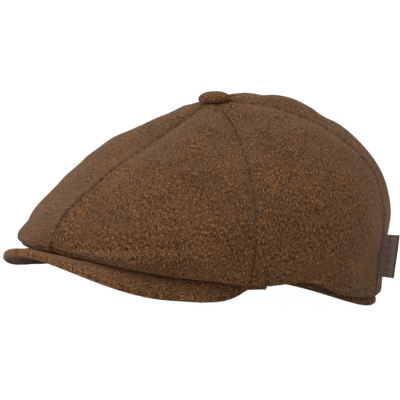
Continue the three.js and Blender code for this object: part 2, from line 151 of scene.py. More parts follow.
def through(stops, values, at):
    """Smooth curve through the values at the stops, level at both ends."""
    stops, values, at = (np.asarray(v, float) for v in (stops, values, at))
    slopes = np.zeros(len(stops))
    slopes[1:-1] = (values[2:] - values[:-2]) / (stops[2:] - stops[:-2])
    k = np.clip(np.searchsorted(stops, at, side="right") - 1, 0, len(stops) - 2)
    width = stops[k + 1] - stops[k]
    u = (at - stops[k]) / width
    rise = (1 + 2 * u) * (1 - u) ** 2 * values[k] + u * u * (3 - 2 * u) * values[k + 1]
    return rise + width * (u * (1 - u) ** 2 * slopes[k] + u * u * (u - 1) * slopes[k + 1])


def half_angle(angle):
    """Angle folded onto the wearer's left half, in degrees."""
    return np.abs(np.degrees(np.arctan2(np.sin(angle), np.cos(angle))))


def around(angle, values):
    return through(SEAM_STATIONS, values, half_angle(angle))


def smoothstep(u):
    c = np.clip(u, 0, 1)
    return c * c * (3 - 2 * c)


def bezier(a, b, c, d, t):
    s = 1 - t
    return s * s * s * a + 3 * s * s * t * b + 3 * s * t * t * c + t * t * t * d


def bump(distance, width):
    return np.exp(-((distance / width) ** 2))


def puff(angle, t):
    """How far the cloth puffs out between its seams."""
    half = half_angle(angle)
    stations = np.asarray(SEAM_STATIONS, float)
    panel = np.clip(np.searchsorted(stations, half, side="left") - 1, 0, 2)
    share = (half - stations[panel]) / (stations[panel + 1] - stations[panel])
    heights = np.stack([through(PUFF_STOPS, row, t) for row in PUFF])
    return np.sin(np.pi * share) * np.take_along_axis(heights, panel[None], 0)[0]


def head_oval(param, grow):
    """x and y of the head oval, grown outwards."""
    width = (HEAD_HALF_WIDTH + grow) * (1 - HEAD_EGG * np.cos(param))
    return width * np.sin(param), HEAD_CENTRE_Y - (HEAD_HALF_LENGTH + grow) * np.cos(param)


def band_lower_edge(param):
    turned = np.abs(np.arctan2(np.sin(param), np.cos(param)))
    span = math.radians(BAND_FLAT_FROM - BAND_HIGH_TO)
    return BAND_FRONT_RISE * smoothstep((math.radians(BAND_FLAT_FROM) - turned) / span)


def head_radius(angle, grow):
    """Radius of the head oval seen from the crown's axis, and the oval's parameter there."""
    param = np.array(angle, float)
    for _ in range(12):
        x, y = head_oval(param, grow)
        miss = np.arctan2(x, -y) - angle
        param -= np.arctan2(np.sin(miss), np.cos(miss))
    x, y = head_oval(param, grow)
    return np.hypot(x, y), param


def flat_crown(angle, t):
    """Radius and height of the crown section, as if each panel were flat between its seams."""
    radius = around(angle, CROWN_RADIUS)
    wide_z = around(angle, CROWN_RADIUS_Z)
    hem_radius = radius - around(angle, HEM_INSET)
    lift = HEM_LIFT * bump(half_angle(angle) - HEM_LIFT_AT, HEM_LIFT_SPAN)
    hem_z = around(angle, HEM_Z) + lift + HEM_ROLL
    shoulder = around(angle, SHOULDER) * radius
    crest_z = APEX_Z + around(angle, CREST_RISE)
    flank_z = wide_z + around(angle, FLANK) * (APEX_Z - wide_z)
    top = np.minimum(t, 1)
    r = bezier(0, shoulder, radius, radius, top)
    z = bezier(APEX_Z, crest_z, flank_z, wide_z, top)
    seat_z = APEX_Z - math.tan(math.radians(BUTTON_TILT)) * r * np.cos(angle)
    z = seat_z + (z - seat_z) * smoothstep(r / SEAT_RADIUS) - DIMPLE_DEPTH * bump(r, DIMPLE_RADIUS)
    low = np.maximum(t, 1) - 1
    drop = wide_z - hem_z
    tuck = hem_radius + TUCK_REACH * (radius - hem_radius)
    low_r = bezier(radius, radius, tuck, hem_radius, low)
    low_z = bezier(wide_z, wide_z - BELLY_FULLNESS * drop, hem_z + TUCK_DEPTH * drop, hem_z, low)
    return np.where(t <= 1, r, low_r), np.where(t <= 1, z, low_z)


def moved_out(section, angle, t, distance):
    """Radius and height of a section moved outwards, square to itself."""
    nudge = 0.01
    r, z = section(angle, t)
    r0, z0 = section(angle, np.maximum(0, t - nudge))
    r1, z1 = section(angle, np.minimum(2, t + nudge))
    amount = distance / np.hypot(r1 - r0, z1 - z0)
    return r - amount * (z1 - z0), z + amount * (r1 - r0)


def puffed_crown(angle, t):
    return moved_out(flat_crown, angle, t, puff(angle, t))


def first_place(reached, low, high):
    """Smallest place between two grids of places at which the test holds."""
    for _ in range(24):
        middle = (low + high) / 2
        hit = reached(middle)
        low, high = np.where(hit, low, middle), np.where(hit, middle, high)
    return high


def section_start(angle, radius):
    """Place on the crown section at a small radius round the button."""
    return radius / (3 * around(angle, SHOULDER) * around(angle, CROWN_RADIUS))


def crown_section(angle, q):
    """Radius and height of the crown's outer face. q: 0 to 1 the top and flank, to 2 the lower
    side, to 3 the hem fold, to 4 the edge turned under to the band."""
    angle, q = np.broadcast_arrays(angle, q)
    start = section_start(angle, APEX_HOLE)
    t = np.where(q <= 1, start + (1 - start) * q, np.minimum(q, 2))
    r, z = puffed_crown(angle, t)
    turn = np.clip(q - 2, 0, 1) * math.pi / 2
    r = r - HEM_ROLL * (1 - np.cos(turn))
    z = z - HEM_ROLL * np.sin(turn)
    radius, param = head_radius(angle, CLEARANCE)
    share = np.clip(q - 3, 0, 1)
    end_z = band_lower_edge(param) + RETURN_ABOVE_BAND
    return r + (radius - r) * share, z + (end_z - z) * share * share


def grid(*coordinates):
    """Grid of points or UVs, from coordinates that each vary along one or both of its sides."""
    return np.stack(np.broadcast_arrays(*coordinates), -1)


def spun(angle, r, z):
    """Points of the cap at a radius and height. The top is drawn forward, where the button sits."""
    forward = APEX_FORWARD * (1 - smoothstep(r / APEX_REACH))
    return grid(r * np.sin(angle), -r * np.cos(angle) - forward, z)


def waves(at, lengths, seed):
    """Sum of sine waves of these lengths with phases fixed by the seed, between -1 and 1."""
    phases = np.random.default_rng(seed).uniform(0, 2 * math.pi, len(lengths))
    return sum(np.sin(2 * math.pi * at / n + p) for n, p in zip(lengths, phases)) / len(lengths)


# ---- Meshes ----


def to_frame(points):
    """Millimetres from the crown's axis to metres in the row frame."""
    return (np.asarray(points, float).reshape(-1, 3) + (0, FORWARD_OFFSET, 0)) / 1000


def inner_box(node):
    """Lowest and highest corner of a CAD node, in millimetres from the crown's axis."""
    return [np.array(corner) * 1000 - (0, FORWARD_OFFSET, 0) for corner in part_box(node)]


def grid_normals(points):
    """Unit normals of a grid of points, on the side that faces out of the cap."""
    across = np.gradient(points, axis=0)
    along = np.gradient(points, axis=1)
    normals = np.cross(along, across)
    return normals / np.linalg.norm(normals, axis=-1, keepdims=True)


def add_mesh(name, points, faces, uvs, material, crease=50):
    """Object from points in millimetres, faces of point numbers, and a UV in millimetres for
    each corner of each face."""
    mesh = bpy.data.meshes.new(name)
    mesh.from_pydata(to_frame(points).tolist(), [], faces)
    layer = mesh.uv_layers.new(name="UVMap")
    layer.data.foreach_set("uv", np.concatenate(uvs).astype(np.float32).ravel())
    mesh.materials.append(material)
    mesh.polygons.foreach_set("use_smooth", [True] * len(mesh.polygons))
    mesh.set_sharp_from_angle(angle=math.radians(crease))
    mesh.update()
    made = bpy.data.objects.new(name, mesh)
    bpy.context.scene.collection.objects.link(made)
    return made


def fit(piece, node=None, body="root"):
    """Hangs a piece under its body's empty and hides the CAD node that it stands for."""
    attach(piece, body)
    if node:
        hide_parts(node)


def quads(columns, rows, wrap):
    """Grid cells as corner pairs (column, row), going round each cell to face outwards."""
    i, j = np.meshgrid(np.arange(columns if wrap else columns - 1), np.arange(rows - 1), indexing="ij")
    i, j = i.ravel(), j.ravel()
    return np.stack([np.stack(c, -1) for c in ((i, j), (i, j + 1), (i + 1, j + 1), (i + 1, j))], 1)


def sheet(name, outer, inner, uv, material, wrap=False):
    """Closed solid between two equal grids of points. wrap joins the last column to the first."""
    columns, rows = outer.shape[:2]
    count = columns * rows

    def number(cells, side):
        return side * count + (cells[..., 0] % columns) * rows + cells[..., 1]

    cells = quads(columns, rows, wrap)
    faces = [number(cells, 0), number(cells, 1)[:, ::-1]]
    uvs = [uv[cells[..., 0], cells[..., 1]], uv[cells[..., 0], cells[..., 1]][:, ::-1]]
    i = np.arange(columns if wrap else columns - 1)
    rims = [(grid(i + 1, j), grid(i, j)) for j in (0, rows - 1)]
    rims[0] = rims[0][::-1]
    if not wrap:
        j = np.arange(rows - 1)
        for side in (0, columns - 1):
            pair = (grid(side, j + 1), grid(side, j))
            rims.append(pair if side == 0 else pair[::-1])
    for a, b in rims:
        faces.append(np.stack([number(a, 0), number(a, 1), number(b, 1), number(b, 0)], 1)[:, ::-1])
        uvs.append(np.stack([uv[a[:, 0], a[:, 1]]] * 2 + [uv[b[:, 0], b[:, 1]]] * 2, 1)[:, ::-1])
    points = np.concatenate([outer.reshape(-1, 3), inner.reshape(-1, 3)])
    corner_uvs = [u.reshape(-1, 2) for u in uvs]
    return add_mesh(name, points, np.concatenate(faces).tolist(), corner_uvs, material)


def arc_lengths(points, axis):
    """Distance run along a grid axis."""
    steps = np.linalg.norm(np.diff(points, axis=axis), axis=-1)
    total = np.cumsum(steps, axis=axis)
    return np.concatenate([np.zeros_like(np.take(total, [0], axis=axis)), total], axis=axis)


def along_path(path, distances):
    """Points at these distances along a polyline, and the polyline's full length."""
    run = arc_lengths(path, 0)
    return np.stack([np.interp(distances, run, path[:, k]) for k in range(3)], -1), run[-1]


STITCH_SIDES = 6
LONG_STITCH = {"length": 2.9, "gap": 1.1}
STITCH_SHAPE = ((0, 0.35), (0.12, 0.8), (0.35, 1), (0.65, 1), (0.88, 0.8), (1, 0.35))


def stitches(name, rows, material, length=2.6, gap=0.9, radius=0.3, lift=0.12):
    """Sewn thread: each row is a path and its normals. Every stitch is a closed rod whose ends
    dive into the cloth."""
    points, faces, uvs = [], [], []
    rings = len(STITCH_SHAPE)
    turns = np.arange(STITCH_SIDES) * 2 * math.pi / STITCH_SIDES
    for path, normals in rows:
        run = arc_lengths(path, 0)[-1]
        for start in np.arange(gap, run - length, length + gap):
            at = start + length * np.array([s for s, _ in STITCH_SHAPE])
            middle, _ = along_path(path, at)
            up = np.stack([np.interp(at, arc_lengths(path, 0), normals[:, k]) for k in range(3)], -1)
            forward = np.gradient(middle, axis=0)
            forward /= np.linalg.norm(forward, axis=1, keepdims=True)
            side = np.cross(forward, up)
            side /= np.linalg.norm(side, axis=1, keepdims=True)
            height = lift - 0.5 * radius * np.abs(np.linspace(-1, 1, rings)) ** 3
            size = radius * np.array([w for _, w in STITCH_SHAPE])
            middle = middle + up * height[:, None]
            ring = side[:, None] * np.cos(turns)[:, None] + up[:, None] * np.sin(turns)[:, None]
            base = len(points)
            points.extend((middle[:, None] + ring * size[:, None, None]).reshape(-1, 3))
            for a in range(rings - 1):
                for b in range(STITCH_SIDES):
                    c = (b + 1) % STITCH_SIDES
                    low, high = base + a * STITCH_SIDES, base + (a + 1) * STITCH_SIDES
                    faces.append([low + b, low + c, high + c, high + b])
                    uvs.append([(at[a], b), (at[a], b + 1), (at[a + 1], b + 1), (at[a + 1], b)])
            faces.append([base + b for b in range(STITCH_SIDES)][::-1])
            faces.append([base + (rings - 1) * STITCH_SIDES + b for b in range(STITCH_SIDES)])
            uvs.extend([[(at[0], 0)] * STITCH_SIDES, [(at[-1], 0)] * STITCH_SIDES])
    corner_uvs = [np.array(u, float) for u in uvs]
    return add_mesh(name, np.array(points), faces, corner_uvs, material, crease=80)


# ---- Cloth ----


def settle(points, hold, slack, pull, frames):
    """Lets a ring-shaped grid of cloth settle and returns its points. hold is 1 where it is sewn
    down, slack is the share of extra cloth, and pull is the share of gravity it feels."""
    columns, rows = points.shape[:2]
    cells = quads(columns, rows, True)
    mesh = bpy.data.meshes.new("settling")
    faces = (cells[..., 0] % columns) * rows + cells[..., 1]
    mesh.from_pydata(to_frame(points).tolist(), [], faces.tolist())
    cloth = bpy.data.objects.new("settling", mesh)
    bpy.context.scene.collection.objects.link(cloth)
    group = cloth.vertex_groups.new(name="sewn")
    for index, weight in enumerate(hold.ravel()):
        group.add([index], float(weight), "REPLACE")
    modifier = cloth.modifiers.new("cloth", "CLOTH")
    settings = modifier.settings
    settings.vertex_group_mass = "sewn"
    settings.pin_stiffness = 4
    settings.quality = 6
    settings.mass = 0.25
    settings.tension_stiffness = settings.compression_stiffness = 18
    settings.shear_stiffness = 8
    settings.bending_stiffness = 1.5
    settings.air_damping = 4
    settings.shrink_min = -slack
    settings.effector_weights.gravity = pull
    modifier.point_cache.frame_start = 1
    modifier.point_cache.frame_end = frames
    scene = bpy.context.scene
    for frame_number in range(1, frames + 1):
        scene.frame_set(frame_number)
    settled = cloth.evaluated_get(bpy.context.evaluated_depsgraph_get()).to_mesh()
    result = np.zeros(len(settled.vertices) * 3)
    settled.vertices.foreach_get("co", result)
    cloth.to_mesh_clear()
    bpy.data.objects.remove(cloth)
    scene.frame_set(1)
    return result.reshape(points.shape) * 1000 - (0, FORWARD_OFFSET, 0)


def sample_ring(field, columns, rows):
    """Field on a ring grid read at fractional columns and rows, with cubic smoothing."""
    size = field.shape

    def weights(f):
        return (
            (-f + 2 * f**2 - f**3) / 2,
            (2 - 5 * f**2 + 3 * f**3) / 2,
            (f + 4 * f**2 - 3 * f**3) / 2,
            (f**3 - f**2) / 2,
        )

    i, j = np.floor(columns).astype(int), np.floor(rows).astype(int)
    total = np.zeros(np.broadcast(columns, rows).shape)
    for a, wa in enumerate(weights(columns - i)):
        for b, wb in enumerate(weights(rows - j)):
            total += wa * wb * field[(i + a - 1) % size[0], np.clip(j + b - 1, 0, size[1] - 1)]
    return total


MOST_SLUMP = 0.8  # the stiff wool settles no further than this
SLUMP_KEPT = 0.3  # share of the settling that the pressed wool keeps
SETTLE_COLUMNS = 16  # per panel
SETTLE_Q = np.concatenate([np.linspace(0, 1, 27), np.linspace(1, 2, 9)[1:], (2.5, 3, 3.5, 4)])


def ring_angles(per_panel):
    bays = [np.linspace(a, b, per_panel, endpoint=False) for a, b in zip(SEAMS, SEAMS[1:])]
    return np.radians(np.concatenate(bays))


def crown_slump():
    """How far the wool settles along its normal, on the grid of ring_angles and SETTLE_Q. The
    panels are cut fuller by what all of them settle, so only their differences are kept."""
    angles = ring_angles(SETTLE_COLUMNS)
    shape = (len(angles), len(SETTLE_Q))
    angle, q = angles[:, None], SETTLE_Q[None]
    points = spun(angle, *crown_section(angle, q))
    seam = np.arange(len(angles)) % SETTLE_COLUMNS
    from_seam = np.minimum(seam, SETTLE_COLUMNS - seam)
    hold = np.repeat(np.where(from_seam == 0, 0.9, 0.06)[:, None], shape[1], 1)
    hold[:, :2] = 1
    hold[:, SETTLE_Q > 2] = 1
    hold[:, np.abs(SETTLE_Q - 2) < 0.2] = 0.5
    settled = settle(points, hold, slack=0.012, pull=0.5, frames=30)
    moved = ((settled - points) * grid_normals(points)).sum(-1)
    shared = moved.reshape(len(PANELS), SETTLE_COLUMNS, -1).mean(0)
    own = moved - np.tile(shared, (len(PANELS), 1))
    return MOST_SLUMP * np.tanh(SLUMP_KEPT * own / MOST_SLUMP)


# ---- Crown ----

SEAM_STITCH = 2.1  # distance of the stitching from the seam
EDGE_STEPS = (0, 0.12, 0.3, 0.5, 0.75, 1, 1.3, 1.6, 1.85, SEAM_STITCH, 2.35, 2.65, 3.1, 3.7, 4.5, 5.6, 7)
STITCH_COLUMN = EDGE_STEPS.index(SEAM_STITCH)
SEAM_MEET = 1.5  # the cloth turns into the seam within this distance
MIDDLE_STEPS = 30
NARROW = 24  # panels narrower than this squeeze their seam details
SECTION_STEPS = (120, 40, 8, 12)  # rows of the top and flank, lower side, fold and turned-under edge
CROWN_Q = np.concatenate([[0], *(k + np.arange(1, n + 1) / n for k, n in enumerate(SECTION_STEPS))])
FOLD_ROW = sum(SECTION_STEPS[:2])
STITCH_FROM_Q = 0.115  # the seam stitching starts here, beside the button

# Height, distance from the seam and width of the ditch, the pressed allowance, the groove that the
# stitching draws and the swelling beside it.
SEAM_PROFILE = ((-0.85, 0, 0.42), (0.15, 1.1, 0.6), (-0.25, SEAM_STITCH, 0.45), (0.22, 3.6, 1.3))
SEAM_PUCKER = (0.42, 2.4, 3.2)
HEM_STITCH = 2.6  # height of the stitching above the fold
HEM_GROOVE = (-0.4, HEM_STITCH, 0.5)
HEM_PUCKER = (0.45, 2, 3.4)
BUTTON_PUCKER = (0.3, 13, 6)
SWELL = 0.35  # broad soft unevenness, which starts away from the button
SWELL_FROM = 15
SWELL_FULL = 45


def panel_columns(first, last):
    """Angle of each column of a panel at each row: close together beside the seams."""
    middle = (first + last) / 2
    r, _ = crown_section(middle, CROWN_Q)
    width = r * (last - first)
    squeeze = np.minimum(1, width / NARROW)
    edge = np.array(EDGE_STEPS)[:, None] * squeeze
    share = np.linspace(0, 1, MIDDLE_STEPS + 1)[1:-1, None]
    inner = edge[-1] + share * (width - 2 * edge[-1])
    across = np.concatenate([edge, inner, width - edge[::-1]])
    return first + across / r, np.minimum(across, width - across), squeeze, across - width / 2


def ridge(distance, height, middle, width):
    """Soft ridge, or with a negative height a groove."""
    return height * bump(distance - middle, width)


def seam_relief(distance, squeeze, run, seed):
    """Height of the cloth beside a seam, with the puckers that the stitching draws."""
    d = distance / squeeze
    pucker = waves(run, (4.6, 6.9, 9.7, 15.1), seed) * (0.6 + 0.4 * waves(run, (31, 47), seed + 50))
    relief = sum(ridge(d, *shape) for shape in SEAM_PROFILE) + pucker * ridge(d, *SEAM_PUCKER)
    return relief * np.minimum(1, squeeze * 1.4)


def swelling(points):
    """Broad unevenness of soft cloth, the same on both sides of a seam."""
    x, y, z = np.moveaxis(points, -1, 0)
    slants = ((x + 0.5 * y + 0.3 * z, (38, 61)), (y - 0.4 * x + 0.6 * z, (33, 57)), (z + 0.3 * x, (29, 47)))
    return sum(waves(at, lengths, 60 + k) for k, (at, lengths) in enumerate(slants))


def seam_normals(normals, angle, from_seam):
    """Normals turned into the seam's own plane beside it, so that neighbouring panels meet."""
    sideways = grid(np.cos(angle), np.sin(angle), 0)
    lean = (normals * sideways).sum(-1) * bump(from_seam, SEAM_MEET)
    normals = normals - sideways * lean[..., None]
    return normals / np.linalg.norm(normals, axis=-1, keepdims=True)


def crown_panel(name, index, slump, material):
    """One wool panel, with its grid of outer points and normals for the stitching."""
    first, last = np.radians(SEAMS[index]), np.radians(SEAMS[index + 1])
    angle, from_seam, squeeze, across = panel_columns(first, last)
    q = np.broadcast_to(CROWN_Q, angle.shape)
    base = spun(angle, *crown_section(angle, q))
    normals = seam_normals(grid_normals(base), angle, from_seam)
    column = np.interp(angle, np.radians(SEAMS), np.arange(len(SEAMS)) * SETTLE_COLUMNS)
    row = np.interp(q, SETTLE_Q, np.arange(len(SETTLE_Q)))
    base = base + normals * sample_ring(slump, column, row)[..., None]
    run = arc_lengths(base, 1)
    sides = [seam_relief(from_seam, squeeze, run, seam % len(PANELS)) for seam in (index, index + 1)]
    relief = np.where(across < 0, *sides)
    above_fold = run[:, FOLD_ROW, None] - run
    hem = waves(arc_lengths(base, 0)[:, FOLD_ROW, None], (5.3, 8.1, 12.7), 20 + index)
    relief += ridge(above_fold, *HEM_GROOVE) + hem * ridge(above_fold, *HEM_PUCKER)
    radius = np.hypot(base[..., 0], base[..., 1] + APEX_FORWARD)
    relief += waves(np.degrees(angle), (360 / 23, 360 / 31), 40) * ridge(radius, *BUTTON_PUCKER)
    relief += SWELL * swelling(base) * smoothstep((run - SWELL_FROM) / (SWELL_FULL - SWELL_FROM))
    outer = base + normals * relief[..., None]
    inner = base - normals * WOOL
    panel = sheet(f"wool_panel_{name}", outer, inner, grid(across, -run), material)
    fit(panel, f"crown_panel_{name}")
    return outer, normals


def row_above_fold(grid, normals, height):
    """Points and normals of a grid at a height above the hem fold."""
    run = arc_lengths(grid, 1)
    picked, directions = [], []
    for column in range(grid.shape[0]):
        at = run[column, FOLD_ROW] - height
        picked.append([np.interp(at, run[column], grid[column, :, k]) for k in range(3)])
        directions.append([np.interp(at, run[column], normals[column, :, k]) for k in range(3)])
    return np.array(picked), np.array(directions)


def crown(materials):
    slump = crown_slump()
    grids = [crown_panel(name, i, slump, materials["wool"]) for i, name in enumerate(PANELS)]
    first_row = np.searchsorted(CROWN_Q, STITCH_FROM_Q)
    for seam in range(len(PANELS)):
        rows = []
        for (points, normals), side in ((grids[seam], STITCH_COLUMN), (grids[seam - 1], -1 - STITCH_COLUMN)):
            rows.append((points[side, first_row:FOLD_ROW], normals[side, first_row:FOLD_ROW]))
        fit(stitches(f"seam_stitching_{seam + 1}", rows, materials["thread"]))
    hem = [row_above_fold(points, normals, HEM_STITCH) for points, normals in grids]
    clear = slice(3, -3)  # the hem stitching stops short of the seams
    hem = [(points[clear], normals[clear]) for points, normals in hem]
    fit(stitches("hem_stitching", hem, materials["thread"], **LONG_STITCH))


# ---- Lining ----

LINING_COLUMNS = 24
LINING_ROWS = 56
LINING_TURN = 0.86  # share of the way down where the lining turns in to the band
LINING_SAG = 1.1
LINING_MOST_SAG = 7
LINING_TUCK = 5  # columns beside a seam over which the sag builds up
LINING_SEAM_GAP = 0.12


def lining_section(angle, share):
    """Radius and height of the lining's upper face, from the button out to the top of the band."""
    radius, param = head_radius(angle, -CLEARANCE)
    top = band_lower_edge(param) + BAND_HEIGHT + CLEARANCE + LINING

    def at_band(t):
        return puffed_crown(angle, t)[1] <= top + LINING_DROP

    end = first_place(at_band, np.full(angle.shape, 0.3), np.full(angle.shape, 2.0))
    start = section_start(angle, APEX_HOLE + LINING_DROP)
    t = start + (end - start) * np.minimum(1, share / LINING_TURN)
    r, z = moved_out(puffed_crown, angle, t, -LINING_DROP)
    inward = smoothstep((share - LINING_TURN) / (1 - LINING_TURN))
    return r + (radius - r) * inward, z + (top - z) * inward


def lining_droop(points, normals, from_seam, angle, spread):
    """How far the lining hangs below its sewn shape, along its normals and so never positive."""
    droop = np.zeros(spread.shape)
    hold = np.repeat(np.where(from_seam == 0, 0.8, 0.0)[:, None], LINING_ROWS, 1)
    hold[:, :2] = hold[:, -2:] = 1
    settled = settle(points, hold, slack=0.02, pull=1, frames=24)
    droop = ((settled - points) * normals).sum(-1)
    folds = waves(np.degrees(angle), (17, 23, 11), 70) * np.sin(np.pi * spread) ** 0.7
    droop = np.minimum(droop, 0) - LINING_SAG * (1 + folds) * np.sin(np.pi * spread)
    return np.maximum(droop, -LINING_MOST_SAG) * smoothstep(from_seam / LINING_TUCK)[:, None]


def lining(materials):
    """Satin lining of six panels that hangs a little loose inside the crown."""
    angles = ring_angles(LINING_COLUMNS)
    angle, spread = np.broadcast_arrays(angles[:, None], np.linspace(0, 1, LINING_ROWS))
    points = spun(angle, *lining_section(angle, spread))
    normals = grid_normals(points)
    seam = np.arange(len(angles)) % LINING_COLUMNS
    from_seam = np.minimum(seam, LINING_COLUMNS - seam)
    upper = points + normals * lining_droop(points, normals, from_seam, angle, spread)[..., None]
    for index, name in enumerate(PANELS):
        pick = np.arange(index * LINING_COLUMNS, (index + 1) * LINING_COLUMNS + 1) % len(angles)
        top = upper[pick]
        for edge, step in ((0, top[1] - top[0]), (-1, top[-2] - top[-1])):
            size = np.linalg.norm(step, axis=-1, keepdims=True)
            top[edge] += step / size * np.minimum(LINING_SEAM_GAP, size / 3)
        under = top - grid_normals(top) * LINING
        uv = grid(arc_lengths(top, 0), -arc_lengths(top, 1))
        made = sheet(f"satin_panel_{name}", top, under, uv, materials["satin"])
        fit(made, f"lining_panel_{name}")


# ---- Band, tape and sweatband ----

RING_STEPS = 240
REAR_FLARE = 2.8  # the band spreads where it stands on the table, most at the rear corners
REAR_FLARE_AT = 132
REAR_FLARE_SPAN = 26
REAR_FLARE_HEIGHT = 10
BAND_RIPPLE = 0.12
BAND_BELLY = (0.4, 2, 1.8)  # the folded lower edge stands proud
SWEATBAND_STITCH = 2.5  # distance of its stitching from its edges


def ring_strip(name, profile, material, ripple=0.0, seed=80):
    """Closed ring round the head. profile is a loop of (grow, height above the band's edge)."""
    param = np.linspace(0, 2 * math.pi, RING_STEPS, endpoint=False)
    grow, height = np.array(profile).T
    wave = ripple * waves(np.degrees(param), (8, 13, 21, 45), seed)[:, None]
    flare = REAR_FLARE * bump(half_angle(param) - REAR_FLARE_AT, REAR_FLARE_SPAN)[:, None]
    x, y = head_oval(param[:, None], grow + wave + flare * bump(height, REAR_FLARE_HEIGHT))
    points = grid(x, y, band_lower_edge(param)[:, None] + height)
    lengths = arc_lengths(np.concatenate([points, points[:1]]), 0)
    sweep = arc_lengths(np.concatenate([points, points[:, :1]], 1), 1)
    count = len(profile)
    cells = quads(RING_STEPS, count + 1, True)
    i, j = cells[..., 0], cells[..., 1]
    faces = (i % RING_STEPS) * count + j % count
    uv = grid(lengths[i, j % count], -sweep[i % RING_STEPS, j])
    return add_mesh(name, points.reshape(-1, 3), faces.tolist(), [uv.reshape(-1, 2)], material)


def rounded_strip(outer, thickness, bottom, top, steps=14, belly=(0, 0, 1)):
    """Loop of a strip's section with rounded edges, and a ridge on its outer face."""
    half = thickness / 2
    turns = np.linspace(0, math.pi, 7)
    heights = np.linspace(top - half, bottom + half, steps)
    face = [(outer + ridge(h, *belly), h) for h in heights]
    low = [(outer - half + half * math.cos(a), bottom + half - half * math.sin(a)) for a in turns]
    back = [(outer - thickness, h) for h in heights[::-1]]
    high = [(outer - half - half * math.cos(a), top - half + half * math.sin(a)) for a in turns]
    return face + low[1:-1] + back + high[1:-1]


def ring_row(grow, height, outward):
    """Path and normals round the head at a height above the band's edge."""
    param = np.linspace(0, 2 * math.pi, 721)
    x, y = head_oval(param, grow)
    direction = grid(np.sin(param), -np.cos(param), 0) * outward
    return grid(x, y, band_lower_edge(param) + height), direction


def band(materials):
    tape_out = -WOOL - CLEARANCE
    sweat_out = tape_out - TAPE - CLEARANCE
    outside = rounded_strip(0, WOOL, 0, BAND_HEIGHT, 26, BAND_BELLY)
    tape = rounded_strip(tape_out, TAPE, TAPE_INSET, BAND_HEIGHT - TAPE_INSET)
    inside = rounded_strip(sweat_out, SWEATBAND, SWEATBAND_INSET, BAND_HEIGHT)
    fit(ring_strip("wool_band", outside, materials["wool"], BAND_RIPPLE), "head_band")
    fit(ring_strip("ribbed_tape", tape, materials["tape"]), "band_tape")
    fit(ring_strip("cotton_sweatband", inside, materials["sweatband"]), "sweatband")
    heights = (SWEATBAND_INSET + SWEATBAND_STITCH, BAND_HEIGHT - SWEATBAND_STITCH)
    rows = [ring_row(sweat_out - SWEATBAND, height, -1) for height in heights]
    made = stitches("sweatband_stitching", rows, materials["thread"], radius=0.25)
    fit(made)


# ---- Visor ----

VISOR_COLUMNS = 121
VISOR_ROWS = 34
NOSE_ROWS = 9  # rows round the edge
NOSE = 2.5  # how far in from the edge the rounding starts
NOSE_HALF_THICKNESS = 2.3
TAIL_DROP = 3  # the cloth hangs this much lower at the visor's tails
THIN_FROM = 0.8  # share of the way to the edge where the visor starts to thin
NOSE_LIFT = 0.06  # keeps the two covers apart at the edge
EDGE_DITCH = 0.3  # depth of the seam along the edge
VISOR_STITCH = 3.6  # distance of the edge stitching from the edge
STITCH_TIP = 0.82  # share of the way to the tip where the stitching and the board end
STITCH_SINK = 0.35
VISOR_GROOVE = (-0.35, VISOR_STITCH, 0.5)
VISOR_PUCKER = (0.3, VISOR_STITCH, 2.6)
VISOR_DITCH = (-0.5, 0, 0.8)  # beside the band
VISOR_SWELL = 0.3


def visor_point(s, t):
    """Middle surface of the visor: s from tip to tip, t from the band to the edge."""
    seam = s * math.radians(VISOR_SEAM_TIP)
    edge = s * math.radians(VISOR_TIP)
    xi, yi = head_oval(seam, VISOR_SEAM_GAP)
    zi = band_lower_edge(seam) + VISOR_SEAM_RISE
    xt, yt = head_oval(seam, VISOR_TAIL_REACH)
    tail = smoothstep((np.abs(s) - VISOR_TAIL_FROM) / (1 - VISOR_TAIL_FROM))
    xo = VISOR_HALF_WIDTH * np.sin(edge) * (1 - tail) + xt * tail
    yo = (VISOR_CENTRE_Y - VISOR_LENGTH * np.cos(edge)) * (1 - tail) + yt * tail
    zo = VISOR_EDGE_Z + VISOR_ARCH * np.abs(np.cos(VISOR_ARCH_TURN * edge)) ** VISOR_ARCH_POWER
    zo = zo - TAIL_DROP * (smoothstep((np.abs(s) - 0.6) / 0.25) - smoothstep((np.abs(s) - 0.9) / 0.1))
    fade = 1 - smoothstep((np.abs(s) - VISOR_BULGE_TO) / VISOR_BULGE_FADE)
    bulge = VISOR_BULGE * smoothstep(np.abs(s) / VISOR_BULGE_FROM) * fade * np.sin(np.pi * t)
    return grid(xi + (xo - xi) * t, yi + (yo - yi) * t, zi + (zo - zi) * t + bulge)


def visor_half_thickness(t):
    """Half thickness of the visor, thinner towards its edge."""
    thinning = smoothstep((t - THIN_FROM) / (1 - THIN_FROM))
    return VISOR_HALF_THICKNESS - (VISOR_HALF_THICKNESS - NOSE_HALF_THICKNESS) * thinning


def visor_span(s):
    """Both ends of the visor's middle surface at s, and its depth there."""
    start, end = visor_point(s, 0.0), visor_point(s, 1.0)
    return start, end, np.linalg.norm((end - start)[..., :2], axis=-1)


